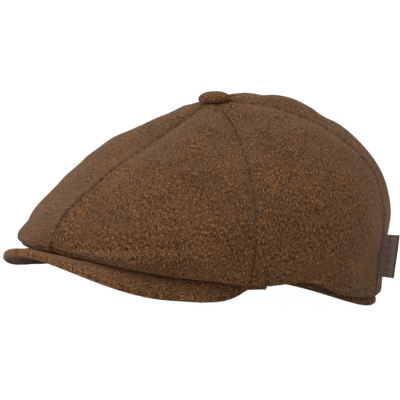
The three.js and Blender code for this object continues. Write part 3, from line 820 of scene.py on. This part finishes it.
def visor_grid(side, depth_in):
    """Grid of a cover's face. side is 1 above and -1 below, and depth_in is how far the face lies
    inside the cloth."""
    s = np.linspace(-1, 1, VISOR_COLUMNS)[:, None]
    start, end, depth = visor_span(s)
    outward = (end - start) * (1, 1, 0) / depth[..., None]
    nose = np.minimum(NOSE, 0.8 * depth)
    turn = np.linspace(0, math.pi / 2, NOSE_ROWS)[None]
    share = np.linspace(0, 1, VISOR_ROWS)[None]
    flat_t = share * (1 - nose / depth)
    flat = visor_point(s, flat_t)
    height = visor_half_thickness(flat_t) - depth_in
    from_edge = (1 - flat_t) * depth
    if depth_in == 0:
        run = 90 * s * math.radians(VISOR_TIP)
        relief = ridge(from_edge, *VISOR_GROOVE) + ridge(flat_t * depth, *VISOR_DITCH)
        relief += waves(run, (5.9, 9.1, 14.3), 90) * ridge(from_edge, *VISOR_PUCKER)
        relief += VISOR_SWELL * waves(run + 0.4 * from_edge, (23, 37), 91) * np.sin(np.pi * share)
        height = height + relief * np.minimum(1, depth / 12)
    flat = flat + grid(0, 0, side * height)
    reach = (nose - depth_in) * np.sin(turn[:, 1:])
    corner_half = visor_half_thickness(flat_t[:, -1:])
    drop = (corner_half - depth_in) * np.cos(turn[:, 1:])
    corner = visor_point(s, 1 - nose / depth)
    seam_ditch = ridge(turn[:, 1:], EDGE_DITCH, math.pi / 2, 0.25) if depth_in == 0 else 0
    rounded = corner + outward * (reach - seam_ditch)[..., None] + grid(0, 0, side * (drop + NOSE_LIFT))
    return np.concatenate([flat, rounded], 1)


def visor_path(side):
    """Path of the edge stitching on one face of the visor."""
    s = np.linspace(-STITCH_TIP, STITCH_TIP, 181)
    t = 1 - VISOR_STITCH / visor_span(s)[2]
    path = visor_point(s, t)
    path[:, 2] += side * (visor_half_thickness(t) - STITCH_SINK)
    return path, np.broadcast_to((0.0, 0.0, float(side)), path.shape)


def visor(materials):
    for name, side in (("upper", 1), ("under", -1)):
        face, back = visor_grid(side, 0), visor_grid(side, COVER)
        uv = grid(arc_lengths(face, 0).mean(1, keepdims=True), -arc_lengths(face, 1))
        if side < 0:
            face, back, uv = face[::-1], back[::-1], uv[::-1]
        # The covers use the wool painted lighter, which is painted light on the visor.
        made = sheet(f"wool_visor_{name}", face, back, uv, materials["visor_wool_painted_lighter"])
        join_visor(made, f"visor_{name}_cover")
    rows = [visor_path(side) for side in (1, -1)]
    join_visor(stitches("visor_stitching", rows, materials["thread"], **LONG_STITCH))
    s = np.linspace(-STITCH_TIP, STITCH_TIP, 81)[:, None]
    middle = visor_point(s, np.linspace(BOARD_FROM, BOARD_TO, 14)[None])
    uv = grid(arc_lengths(middle, 0), -arc_lengths(middle, 1))
    rise = np.array((0, 0, BOARD / 2))
    made = sheet("visor_insert", middle + rise, middle - rise, uv, materials["board"])
    join_visor(made, "visor_board")


def join_visor(piece, node=None):
    """Bakes a visor piece's place into its mesh and hides the CAD node that it stands for."""
    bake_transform(piece)
    if node:
        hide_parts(node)


# ---- Top button ----


DOME_RISE = 4.7
SKIRT_DROP = 2.1  # the cloth turns under the rim and ends this far below it
BUTTON_CLOTH = 1.2
GATHERS = 0.06  # folds of the gathered cloth, as a share of the button's radius
GATHER_LIFT = 0.22
BUTTON_SWAY = 0.25


def tilted(x, y, z):
    """From the button's own axis to the leaning place on the crown."""
    turn = math.radians(BUTTON_TILT)
    forward = y * math.cos(turn) - z * math.sin(turn) - APEX_FORWARD
    return grid(x, forward, APEX_Z + y * math.sin(turn) + z * math.cos(turn))


def button(materials):
    """Wool-covered button, its cloth gathered under the rim."""
    turns = np.linspace(0, 2 * math.pi, 144, endpoint=False)[:, None]
    rise = np.linspace(0.5 * math.pi, -0.42 * math.pi, 34)[None]
    radius = BUTTON_RADIUS * np.cos(rise) ** np.where(rise > 0, 0.72, 0.3)
    height = BUTTON_BASE + np.where(rise > 0, DOME_RISE, SKIRT_DROP) * np.sin(rise)
    radius = np.maximum(radius, 0.02)
    gather = waves(np.degrees(turns), (360 / 17, 360 / 26, 360 / 11), 110)
    droop = smoothstep((0.9 - rise) / 1.1)
    sway = BUTTON_SWAY * droop * waves(np.degrees(turns), (360, 120), 111)
    radius = radius * (1 + GATHERS * gather * droop) + sway
    height = height + GATHER_LIFT * gather * droop * np.cos(rise)
    outer = tilted(radius * np.sin(turns), -radius * np.cos(turns), height)
    flat = np.maximum(radius - BUTTON_CLOTH, 0.01)
    low = np.clip(height - 0.9, 1.5, None)
    inner = tilted(flat * np.sin(turns), -flat * np.cos(turns), low)
    ring = np.concatenate([turns, [[2 * math.pi]]])
    run = np.concatenate([arc_lengths(outer, 1), arc_lengths(outer, 1)[:1]])
    uv = grid(run * np.sin(ring), -run * np.cos(ring))
    fit(sheet("wool_button", outer, inner, uv, materials["wool"], wrap=True), "top_button_cover")


# ---- Labels ----


TAB_REACH = 10.6
TAB_OUTSIDE = 0.62  # half thickness of the folded tab, and of the space inside its fold
TAB_INSIDE = 0.16
TAB_NOSE = 0.6


def side_tab(materials):
    """Folded woven tab that stands out of a back corner seam."""
    angle = math.radians(SEAMS[2])
    out = np.array([math.sin(angle), -math.cos(angle), 0])
    along = np.array([math.cos(angle), math.sin(angle), 0])
    low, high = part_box("side_tab")
    heights = np.linspace(high.z, low.z, 27) * 1000
    q = np.linspace(0.5, 2, 400)
    r, z = crown_section(angle, q)
    base = np.interp(heights, z[::-1], r[::-1])
    turns = np.linspace(math.pi / 2, -math.pi / 2, 9)
    flat = np.linspace(0, 1, 12)[:-1]

    def hairpin(half):
        end = TAB_REACH - TAB_NOSE
        arm = [(end * f, half) for f in flat]
        nose = [(end + half * math.cos(a), half * math.sin(a)) for a in turns]
        return np.array(arm + nose + [(x, -y) for x, y in arm[::-1]])

    def wall(half):
        loop = hairpin(half)
        place = spun(angle, base, heights)[None] + loop[:, None, :1] * out + loop[:, None, 1:] * along
        share = loop[:, :1] / TAB_REACH
        lean = np.linspace(1, -1, len(heights))[None]
        place[..., 2] += share * (0.2 + 0.4 * lean)
        sway = share**2 * (0.5 * lean + 0.25 * np.sin(lean * 3))
        return place + sway[..., None] * along

    outer, inner = wall(TAB_OUTSIDE), wall(TAB_INSIDE)
    run = arc_lengths(outer, 0)
    uv = grid(np.minimum(run, run[-1:] - run), heights[::-1] - heights.min())
    made = sheet("woven_side_tab", outer, inner, uv, materials["tab"])
    fit(made, "side_tab", body="side_tab")


LABEL_THICKNESS = 0.45
LABEL_SAG = 0.8
LABEL_CURL = 0.15
PATCH_DROP = 6
PATCH_THICKNESS = 0.5
PATCH_WIDTH_SHARE = 0.98


def size_label(materials):
    """Small blank label that hangs from the top of the sweatband."""
    low, high = inner_box("size_label")
    x = np.linspace(low[0], high[0], 25)[:, None]
    z = np.linspace(high[2], low[2], 21)[None]
    share = (high[2] - z) / (high[2] - low[2])
    y = low[1] + 0.05 - LABEL_SAG * share**2 + LABEL_CURL * np.cos(x / 3.5) * share
    face = grid(x, y, z)
    uv = grid(x - low[0], z - low[2])
    made = sheet("blank_size_label", face, face + (0, LABEL_THICKNESS, 0), uv, materials["label"])
    fit(made, "size_label", body="size_label")


def lining_patch(materials):
    """Woven patch sewn to the lining behind the button."""
    low, high = inner_box("lining_patch")
    x = np.linspace(low[0], high[0], 33)[:, None] * PATCH_WIDTH_SHARE
    y = np.linspace(low[1], high[1], 25)[None]
    angle = np.arctan2(x, -y)
    reach = np.hypot(x, y)
    place = first_place(lambda t: puffed_crown(angle, t)[0] >= reach, 0 * reach, 0 * reach + 1)
    upper = grid(x, y, puffed_crown(angle, place)[1] - PATCH_DROP)
    under = upper - (0, 0, PATCH_THICKNESS)
    uv = grid(x - low[0], y - low[1])
    made = sheet("woven_patch", upper[::-1], under[::-1], uv[::-1], materials["patch"])
    fit(made, "lining_patch")


# ---- Materials ----


class Shader:
    """A material's node tree, built with short calls."""

    def __init__(self, name, roughness, specular=0.3):
        self.material = bpy.data.materials.new(name)
        self.material.use_nodes = True
        self.tree = self.material.node_tree
        self.surface = self.tree.nodes["Principled BSDF"]
        self.set("Roughness", roughness)
        self.set("Specular IOR Level", specular)

    def feed(self, socket, value):
        if isinstance(value, bpy.types.NodeSocket):
            self.tree.links.new(value, socket)
        else:
            socket.default_value = value

    def set(self, key, value):
        self.feed(self.surface.inputs[key], value)

    def node(self, kind, inputs, **settings):
        made = self.tree.nodes.new("ShaderNode" + kind)
        for key, value in settings.items():
            setattr(made, key, value)
        for key, value in inputs.items():
            self.feed(made.inputs[key], value)
        return made

    def place(self, turn=0.0, scale=(1, 1, 1), source="UV"):
        coords = self.tree.nodes.new("ShaderNodeTexCoord").outputs[source]
        inputs = {"Vector": coords, "Rotation": (0, 0, math.radians(turn))}
        turned = self.node("Mapping", inputs).outputs[0]
        return self.node("Mapping", {"Vector": turned, "Scale": scale}).outputs[0]

    def noise(self, place, scale, detail=2.0, roughness=0.5, distortion=0.0):
        inputs = {"Vector": place, "Scale": scale, "Detail": detail, "Roughness": roughness}
        inputs["Distortion"] = distortion
        return self.node("TexNoise", inputs).outputs[0]

    def stripes(self, place, scale, distortion, more=None, axis="X"):
        inputs = {"Vector": place, "Scale": scale, "Distortion": distortion, "Detail": 2, **(more or {})}
        return self.node("TexWave", inputs, bands_direction=axis).outputs[1]

    def math(self, operation, a, b=0.0, c=0.0):
        return self.node("Math", {0: a, 1: b, 2: c}, operation=operation).outputs[0]

    def ramp(self, value, stops):
        made = self.node("ValToRGB", {"Fac": value})
        elements = made.color_ramp.elements
        while len(elements) < len(stops):
            elements.new(0.5)
        for element, (position, colour) in zip(elements, stops):
            element.position = position
            element.color = (*colour, 1) if isinstance(colour, tuple) else (colour, colour, colour, 1)
        return made.outputs[0]

    def mix(self, share, a, b, blend="MIX"):
        a, b = ((*v, 1) if isinstance(v, tuple) else v for v in (a, b))
        inputs = {0: share, 6: a, 7: b}
        return self.node("Mix", inputs, data_type="RGBA", blend_type=blend).outputs[2]

    def relief(self, height, distance, strength=1.0, after=None):
        inputs = {"Height": height, "Distance": distance / 1000, "Strength": strength}
        if after is not None:
            inputs["Normal"] = after
        return self.node("Bump", inputs).outputs[0]


def srgb(red, green, blue):
    """Linear colour from everyday 0 to 255 values."""
    return tuple(((v / 255 + 0.055) / 1.055) ** 2.4 for v in (red, green, blue))


def wool(name, turn, tone=1.0):
    """Brushed heather wool: short fibres in several browns over a faint twill."""
    shader = Shader(name, roughness=0.92, specular=0.15)
    flat = shader.place()
    nap = shader.place(turn, (1.0, 0.5, 1))
    clumps = shader.noise(nap, 1.0, 3, 0.8, 0.4)
    fibres = shader.noise(nap, 2.4, 3, 0.75, 0.4)
    blend = shader.math("MULTIPLY_ADD", fibres, 0.3, shader.math("MULTIPLY", clumps, 0.7))

    def toned(*rgb):
        return tuple(tone * v for v in srgb(*rgb))

    browns = ((0.4, (12, 6, 2)), (0.45, (42, 24, 9)), (0.5, (70, 43, 19)), (0.55, (102, 68, 35)))
    browns = (*browns, (0.61, (152, 110, 66)))
    colour = shader.ramp(blend, [(place, toned(*rgb)) for place, rgb in browns])
    warm = shader.ramp(shader.noise(flat, 0.16, 2, 0.6), ((0.45, 0.0), (0.62, 0.45)))
    colour = shader.mix(warm, colour, toned(100, 60, 27))
    cool = shader.ramp(shader.noise(shader.place(40), 0.22, 2, 0.6), ((0.5, 0.0), (0.66, 0.4)))
    colour = shader.mix(cool, colour, toned(66, 44, 34))
    flecks = shader.ramp(shader.noise(nap, 1.5, 1, 0.5), ((0.68, 0.0), (0.74, 0.6)))
    colour = shader.mix(flecks, colour, toned(150, 112, 76))
    broad = shader.ramp(shader.noise(flat, 0.035, 2, 0.5), ((0.3, 0.86), (0.7, 1.12)))
    colour = shader.mix(1.0, colour, broad, "MULTIPLY")
    shader.set("Base Color", colour)
    twill = shader.stripes(shader.place(turn + 38), 0.42, 2.5, {"Detail Scale": 1.6})
    soft = shader.relief(clumps, 0.55, 0.9)
    fine = shader.relief(fibres, 0.4, 0.8, soft)
    shader.set("Normal", shader.relief(twill, 0.12, 0.5, fine))
    shader.set("Roughness", shader.ramp(fibres, ((0.3, 0.98), (0.7, 0.86))))
    shader.set("Sheen Weight", 0.18)
    shader.set("Sheen Roughness", 0.45)
    shader.set("Sheen Tint", (*srgb(214, 186, 156), 1))
    return shader.material


def weave(name, colours, pitch, roughness, sheen=0.2, depth=0.2, turn=0.0):
    """Woven cloth of crossing threads in two close colours."""
    shader = Shader(name, roughness, specular=0.25)
    place = shader.place(turn)
    threads = [shader.stripes(place, 1 / pitch, 0.5, axis=axis) for axis in ("X", "Y")]
    cross = shader.math("MAXIMUM", *threads)
    wear = shader.noise(place, 0.2, 3, 0.6)
    shade = shader.math("MULTIPLY_ADD", wear, 0.5, shader.math("MULTIPLY", cross, 0.5))
    shader.set("Base Color", shader.ramp(shade, ((0.25, colours[0]), (0.8, colours[1]))))
    shader.set("Normal", shader.relief(cross, depth, 0.8))
    shader.set("Roughness", shader.ramp(wear, ((0.3, roughness - 0.06), (0.7, roughness + 0.06))))
    shader.set("Sheen Weight", sheen)
    return shader.material


def satin(name):
    """Dark brown satin with fine threads and soft creases. The crease noise also paints shade and highlight
    into its colour.
    """
    shader = Shader(name, 0.36, specular=0.5)
    place = shader.place()
    threads = shader.noise(shader.place(0, (6, 0.8, 1)), 1.4, 2, 0.6)
    creases_and_painted_shade = shader.noise(shader.place(25, (0.5, 1, 1)), 0.09, 3, 0.5, 0.8)
    # Painted shade and highlight: the crease noise darkens and lightens the colour along the folds.
    tone = shader.math("MULTIPLY_ADD", creases_and_painted_shade, 0.6, shader.math("MULTIPLY", threads, 0.4))
    shader.set("Base Color", shader.ramp(tone, ((0.3, srgb(44, 28, 19)), (0.7, srgb(78, 52, 36)))))
    shader.set("Roughness", shader.ramp(shader.noise(place, 0.3, 2), ((0.3, 0.3), (0.7, 0.46))))
    shader.set("Normal", shader.relief(threads, 0.05, 0.5, shader.relief(creases_and_painted_shade, 1.5, 0.5)))
    shader.set("Anisotropic", 0.4)
    return shader.material


def tab_cloth(name, ground, motif, spacing, centre, edge_at=None):
    """Close-woven label cloth with a row of plain lozenges."""
    shader = Shader(name, 0.82, specular=0.25)
    place = shader.place()
    parts = shader.node("SeparateXYZ", {"Vector": place})
    across, up = parts.outputs[0], parts.outputs[1]
    ribs = shader.math("SINE", shader.math("MULTIPLY", up, 2 * math.pi / 0.55))
    picks = shader.math("SINE", shader.math("MULTIPLY", across, 2 * math.pi / 0.4))
    side = shader.math("ABSOLUTE", shader.math("SUBTRACT", across, centre))
    rise = shader.math("PINGPONG", up, spacing / 2)
    lozenge = shader.math("ADD", side, rise)
    ring = shader.math("ABSOLUTE", shader.math("SUBTRACT", lozenge, 0.34 * spacing))
    mask = shader.ramp(ring, ((0.22, 1.0), (0.42, 0.0)))
    wear = shader.noise(place, 0.9, 3, 0.6)
    worn, fresh = (tuple(level * v for v in ground) for level in (0.8, 1.2))
    base = shader.ramp(wear, ((0.3, worn), (0.7, fresh)))
    base = shader.mix(shader.math("MULTIPLY", mask, 0.8), base, motif)
    if edge_at is not None:
        border = shader.ramp(shader.math("SUBTRACT", across, edge_at), ((0.0, 0.0), (0.4, 0.85)))
        base = shader.mix(border, base, motif)
    shader.set("Base Color", base)
    woven = shader.math("MULTIPLY_ADD", ribs, 0.6, shader.math("MULTIPLY", picks, 0.4))
    raised = shader.math("ADD", woven, shader.math("MULTIPLY", mask, 1.2))
    shader.set("Normal", shader.relief(raised, 0.07, 0.9))
    shader.set("Sheen Weight", 0.2)
    return shader.material


def moulded(name):
    shader = Shader(name, 0.5, specular=0.4)
    grain = shader.noise(shader.place(), 1.2, 3, 0.6)
    shader.set("Base Color", shader.ramp(grain, ((0.3, srgb(30, 30, 32)), (0.7, srgb(46, 46, 48)))))
    shader.set("Normal", shader.relief(grain, 0.08, 0.6))
    return shader.material


def brushed_metal(name):
    shader = Shader(name, 0.35)
    streaks = shader.noise(shader.place(0, (900, 900, 9000), "Object"), 1, 3, 0.7)
    shader.set("Base Color", shader.ramp(streaks, ((0.3, srgb(150, 150, 148)), (0.7, srgb(205, 205, 202)))))
    shader.set("Roughness", shader.ramp(streaks, ((0.3, 0.26), (0.7, 0.46))))
    shader.set("Normal", shader.relief(streaks, 0.02, 0.5))
    shader.set("Metallic", 1.0)
    return shader.material


def make_materials():
    return {
        "wool": wool("heather_wool", turn=18),
        # The visor takes the crown's wool with its colour painted 1.25 times lighter: painted light that
        # brightens the visor.
        "visor_wool_painted_lighter": wool("visor_wool_painted_lighter", turn=74, tone=1.25),
        "thread": weave("thread", (srgb(52, 33, 20), srgb(86, 58, 38)), 0.5, 0.7, depth=0.06, turn=35),
        "satin": satin("satin"),
        "sweatband": weave("cotton_twill", (srgb(38, 27, 20), srgb(66, 48, 36)), 0.9, 0.8, turn=45),
        "tape": weave("ribbed_tape", (srgb(30, 24, 20), srgb(56, 46, 38)), 1.3, 0.75),
        "tab": tab_cloth("taupe_label", srgb(102, 84, 74), srgb(38, 28, 24), 4.2, 5.2, edge_at=9.4),
        "label": weave("blank_label", (srgb(196, 188, 172), srgb(226, 220, 206)), 0.5, 0.7, depth=0.08),
        "patch": tab_cloth("woven_patch", srgb(92, 66, 46), srgb(196, 170, 128), 7, 22),
        "board": moulded("moulded_board"),
        "metal": brushed_metal("brushed_metal"),
    }


# ---- Scene ----

CAMERA_DISTANCE = 1.2
CAMERA_AZIMUTH = 50
CAMERA_ELEVATION = 4.7
CAMERA_ROLL = 4.6
FOCAL_LENGTH = 170.6
TARGET = (0, FORWARD_OFFSET / 1000, 0.055)


def add_camera():
    azimuth, elevation, roll = (math.radians(v) for v in (CAMERA_AZIMUTH, CAMERA_ELEVATION, CAMERA_ROLL))
    level = math.cos(elevation)
    back = Vector((math.sin(azimuth) * level, -math.cos(azimuth) * level, math.sin(elevation)))
    right = Vector((math.cos(azimuth), math.sin(azimuth), 0))
    up = back.cross(right)
    x_axis = right * math.cos(roll) + up * math.sin(roll)
    y_axis = up * math.cos(roll) - right * math.sin(roll)
    data = bpy.data.cameras.new("camera")
    data.lens = FOCAL_LENGTH
    data.sensor_width = 36
    data.shift_x = -0.035
    data.shift_y = 0.005
    data.clip_end = 20
    camera = bpy.data.objects.new("camera", data)
    place = Matrix((x_axis, y_axis, back)).transposed().to_4x4()
    place.translation = Vector(TARGET) + back * CAMERA_DISTANCE
    camera.matrix_world = place
    bpy.context.scene.collection.objects.link(camera)
    bpy.context.scene.camera = camera


def add_light(name, position, size, power, colour=(1, 1, 1)):
    data = bpy.data.lights.new(name, "AREA")
    data.shape = "DISK"
    data.size = size
    data.energy = power
    data.color = colour
    light = bpy.data.objects.new(name, data)
    light.location = position
    aim = Vector((0, 0, 0.06)) - Vector(position)
    light.rotation_euler = aim.to_track_quat("-Z", "Y").to_euler()
    bpy.context.scene.collection.objects.link(light)


FLOOR_REACH = 6
FLOOR_DROP = 0.0004  # keeps the floor clear of the faces that stand on it


def add_floor():
    """White sweep. The camera sees it almost evenly lit, and it throws soft light back up."""
    shader = Shader("floor", 0.9, specular=0.5)
    shader.set("Base Color", (0.8, 0.8, 0.8, 1))
    glow = shader.node("Emission", {"Strength": 1.1}).outputs[0]
    seen = shader.math("MULTIPLY", shader.node("LightPath", {}).outputs["Is Camera Ray"], 0.9)
    mixed = shader.node("MixShader", {0: seen, 1: shader.surface.outputs[0], 2: glow})
    shader.feed(shader.tree.nodes["Material Output"].inputs["Surface"], mixed.outputs[0])
    mesh = bpy.data.meshes.new("floor")
    corners = [(FLOOR_REACH * x, FLOOR_REACH * y, 0) for x, y in ((-1, -1), (1, -1), (1, 1), (-1, 1))]
    mesh.from_pydata(corners, [], [(0, 1, 2, 3)])
    mesh.materials.append(shader.material)
    floor = bpy.data.objects.new("floor", mesh)
    floor.location = (0, 0, -FLOOR_DROP)
    bpy.context.scene.collection.objects.link(floor)


SEEN_WHITE = 1.05  # brightness of the backdrop to the camera
STUDIO_LEVEL = 0.85  # and as a light


def add_world():
    world = bpy.data.worlds.new("studio")
    world.use_nodes = True
    tree = world.node_tree
    background = tree.nodes["Background"]
    background.inputs[0].default_value = (1, 1, 1, 1)
    path = tree.nodes.new("ShaderNodeLightPath")
    level = tree.nodes.new("ShaderNodeMath")
    level.operation = "MULTIPLY_ADD"
    level.inputs[1].default_value = SEEN_WHITE - STUDIO_LEVEL
    level.inputs[2].default_value = STUDIO_LEVEL
    tree.links.new(path.outputs["Is Camera Ray"], level.inputs[0])
    tree.links.new(level.outputs[0], background.inputs[1])
    bpy.context.scene.world = world


def main():
    materials = make_materials()
    crown(materials)
    lining(materials)
    band(materials)
    visor(materials)
    button(materials)
    side_tab(materials)
    size_label(materials)
    lining_patch(materials)
    for node in ("top_button_shell", "top_button_shank", "top_button_back_plate"):
        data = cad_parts[node].data
        data.materials.clear()
        data.materials.append(materials["metal"])
    add_floor()
    add_world()
    add_light("key", (-0.5, -0.9, 1.3), 1.2, 9)
    add_light("top", (0.3, 0.4, 1.6), 1.4, 7)
    add_light("fill", (0.35, -1.5, 0.32), 1.0, 9)
    add_camera()
    bpy.context.scene.view_settings.view_transform = "Standard"


main()
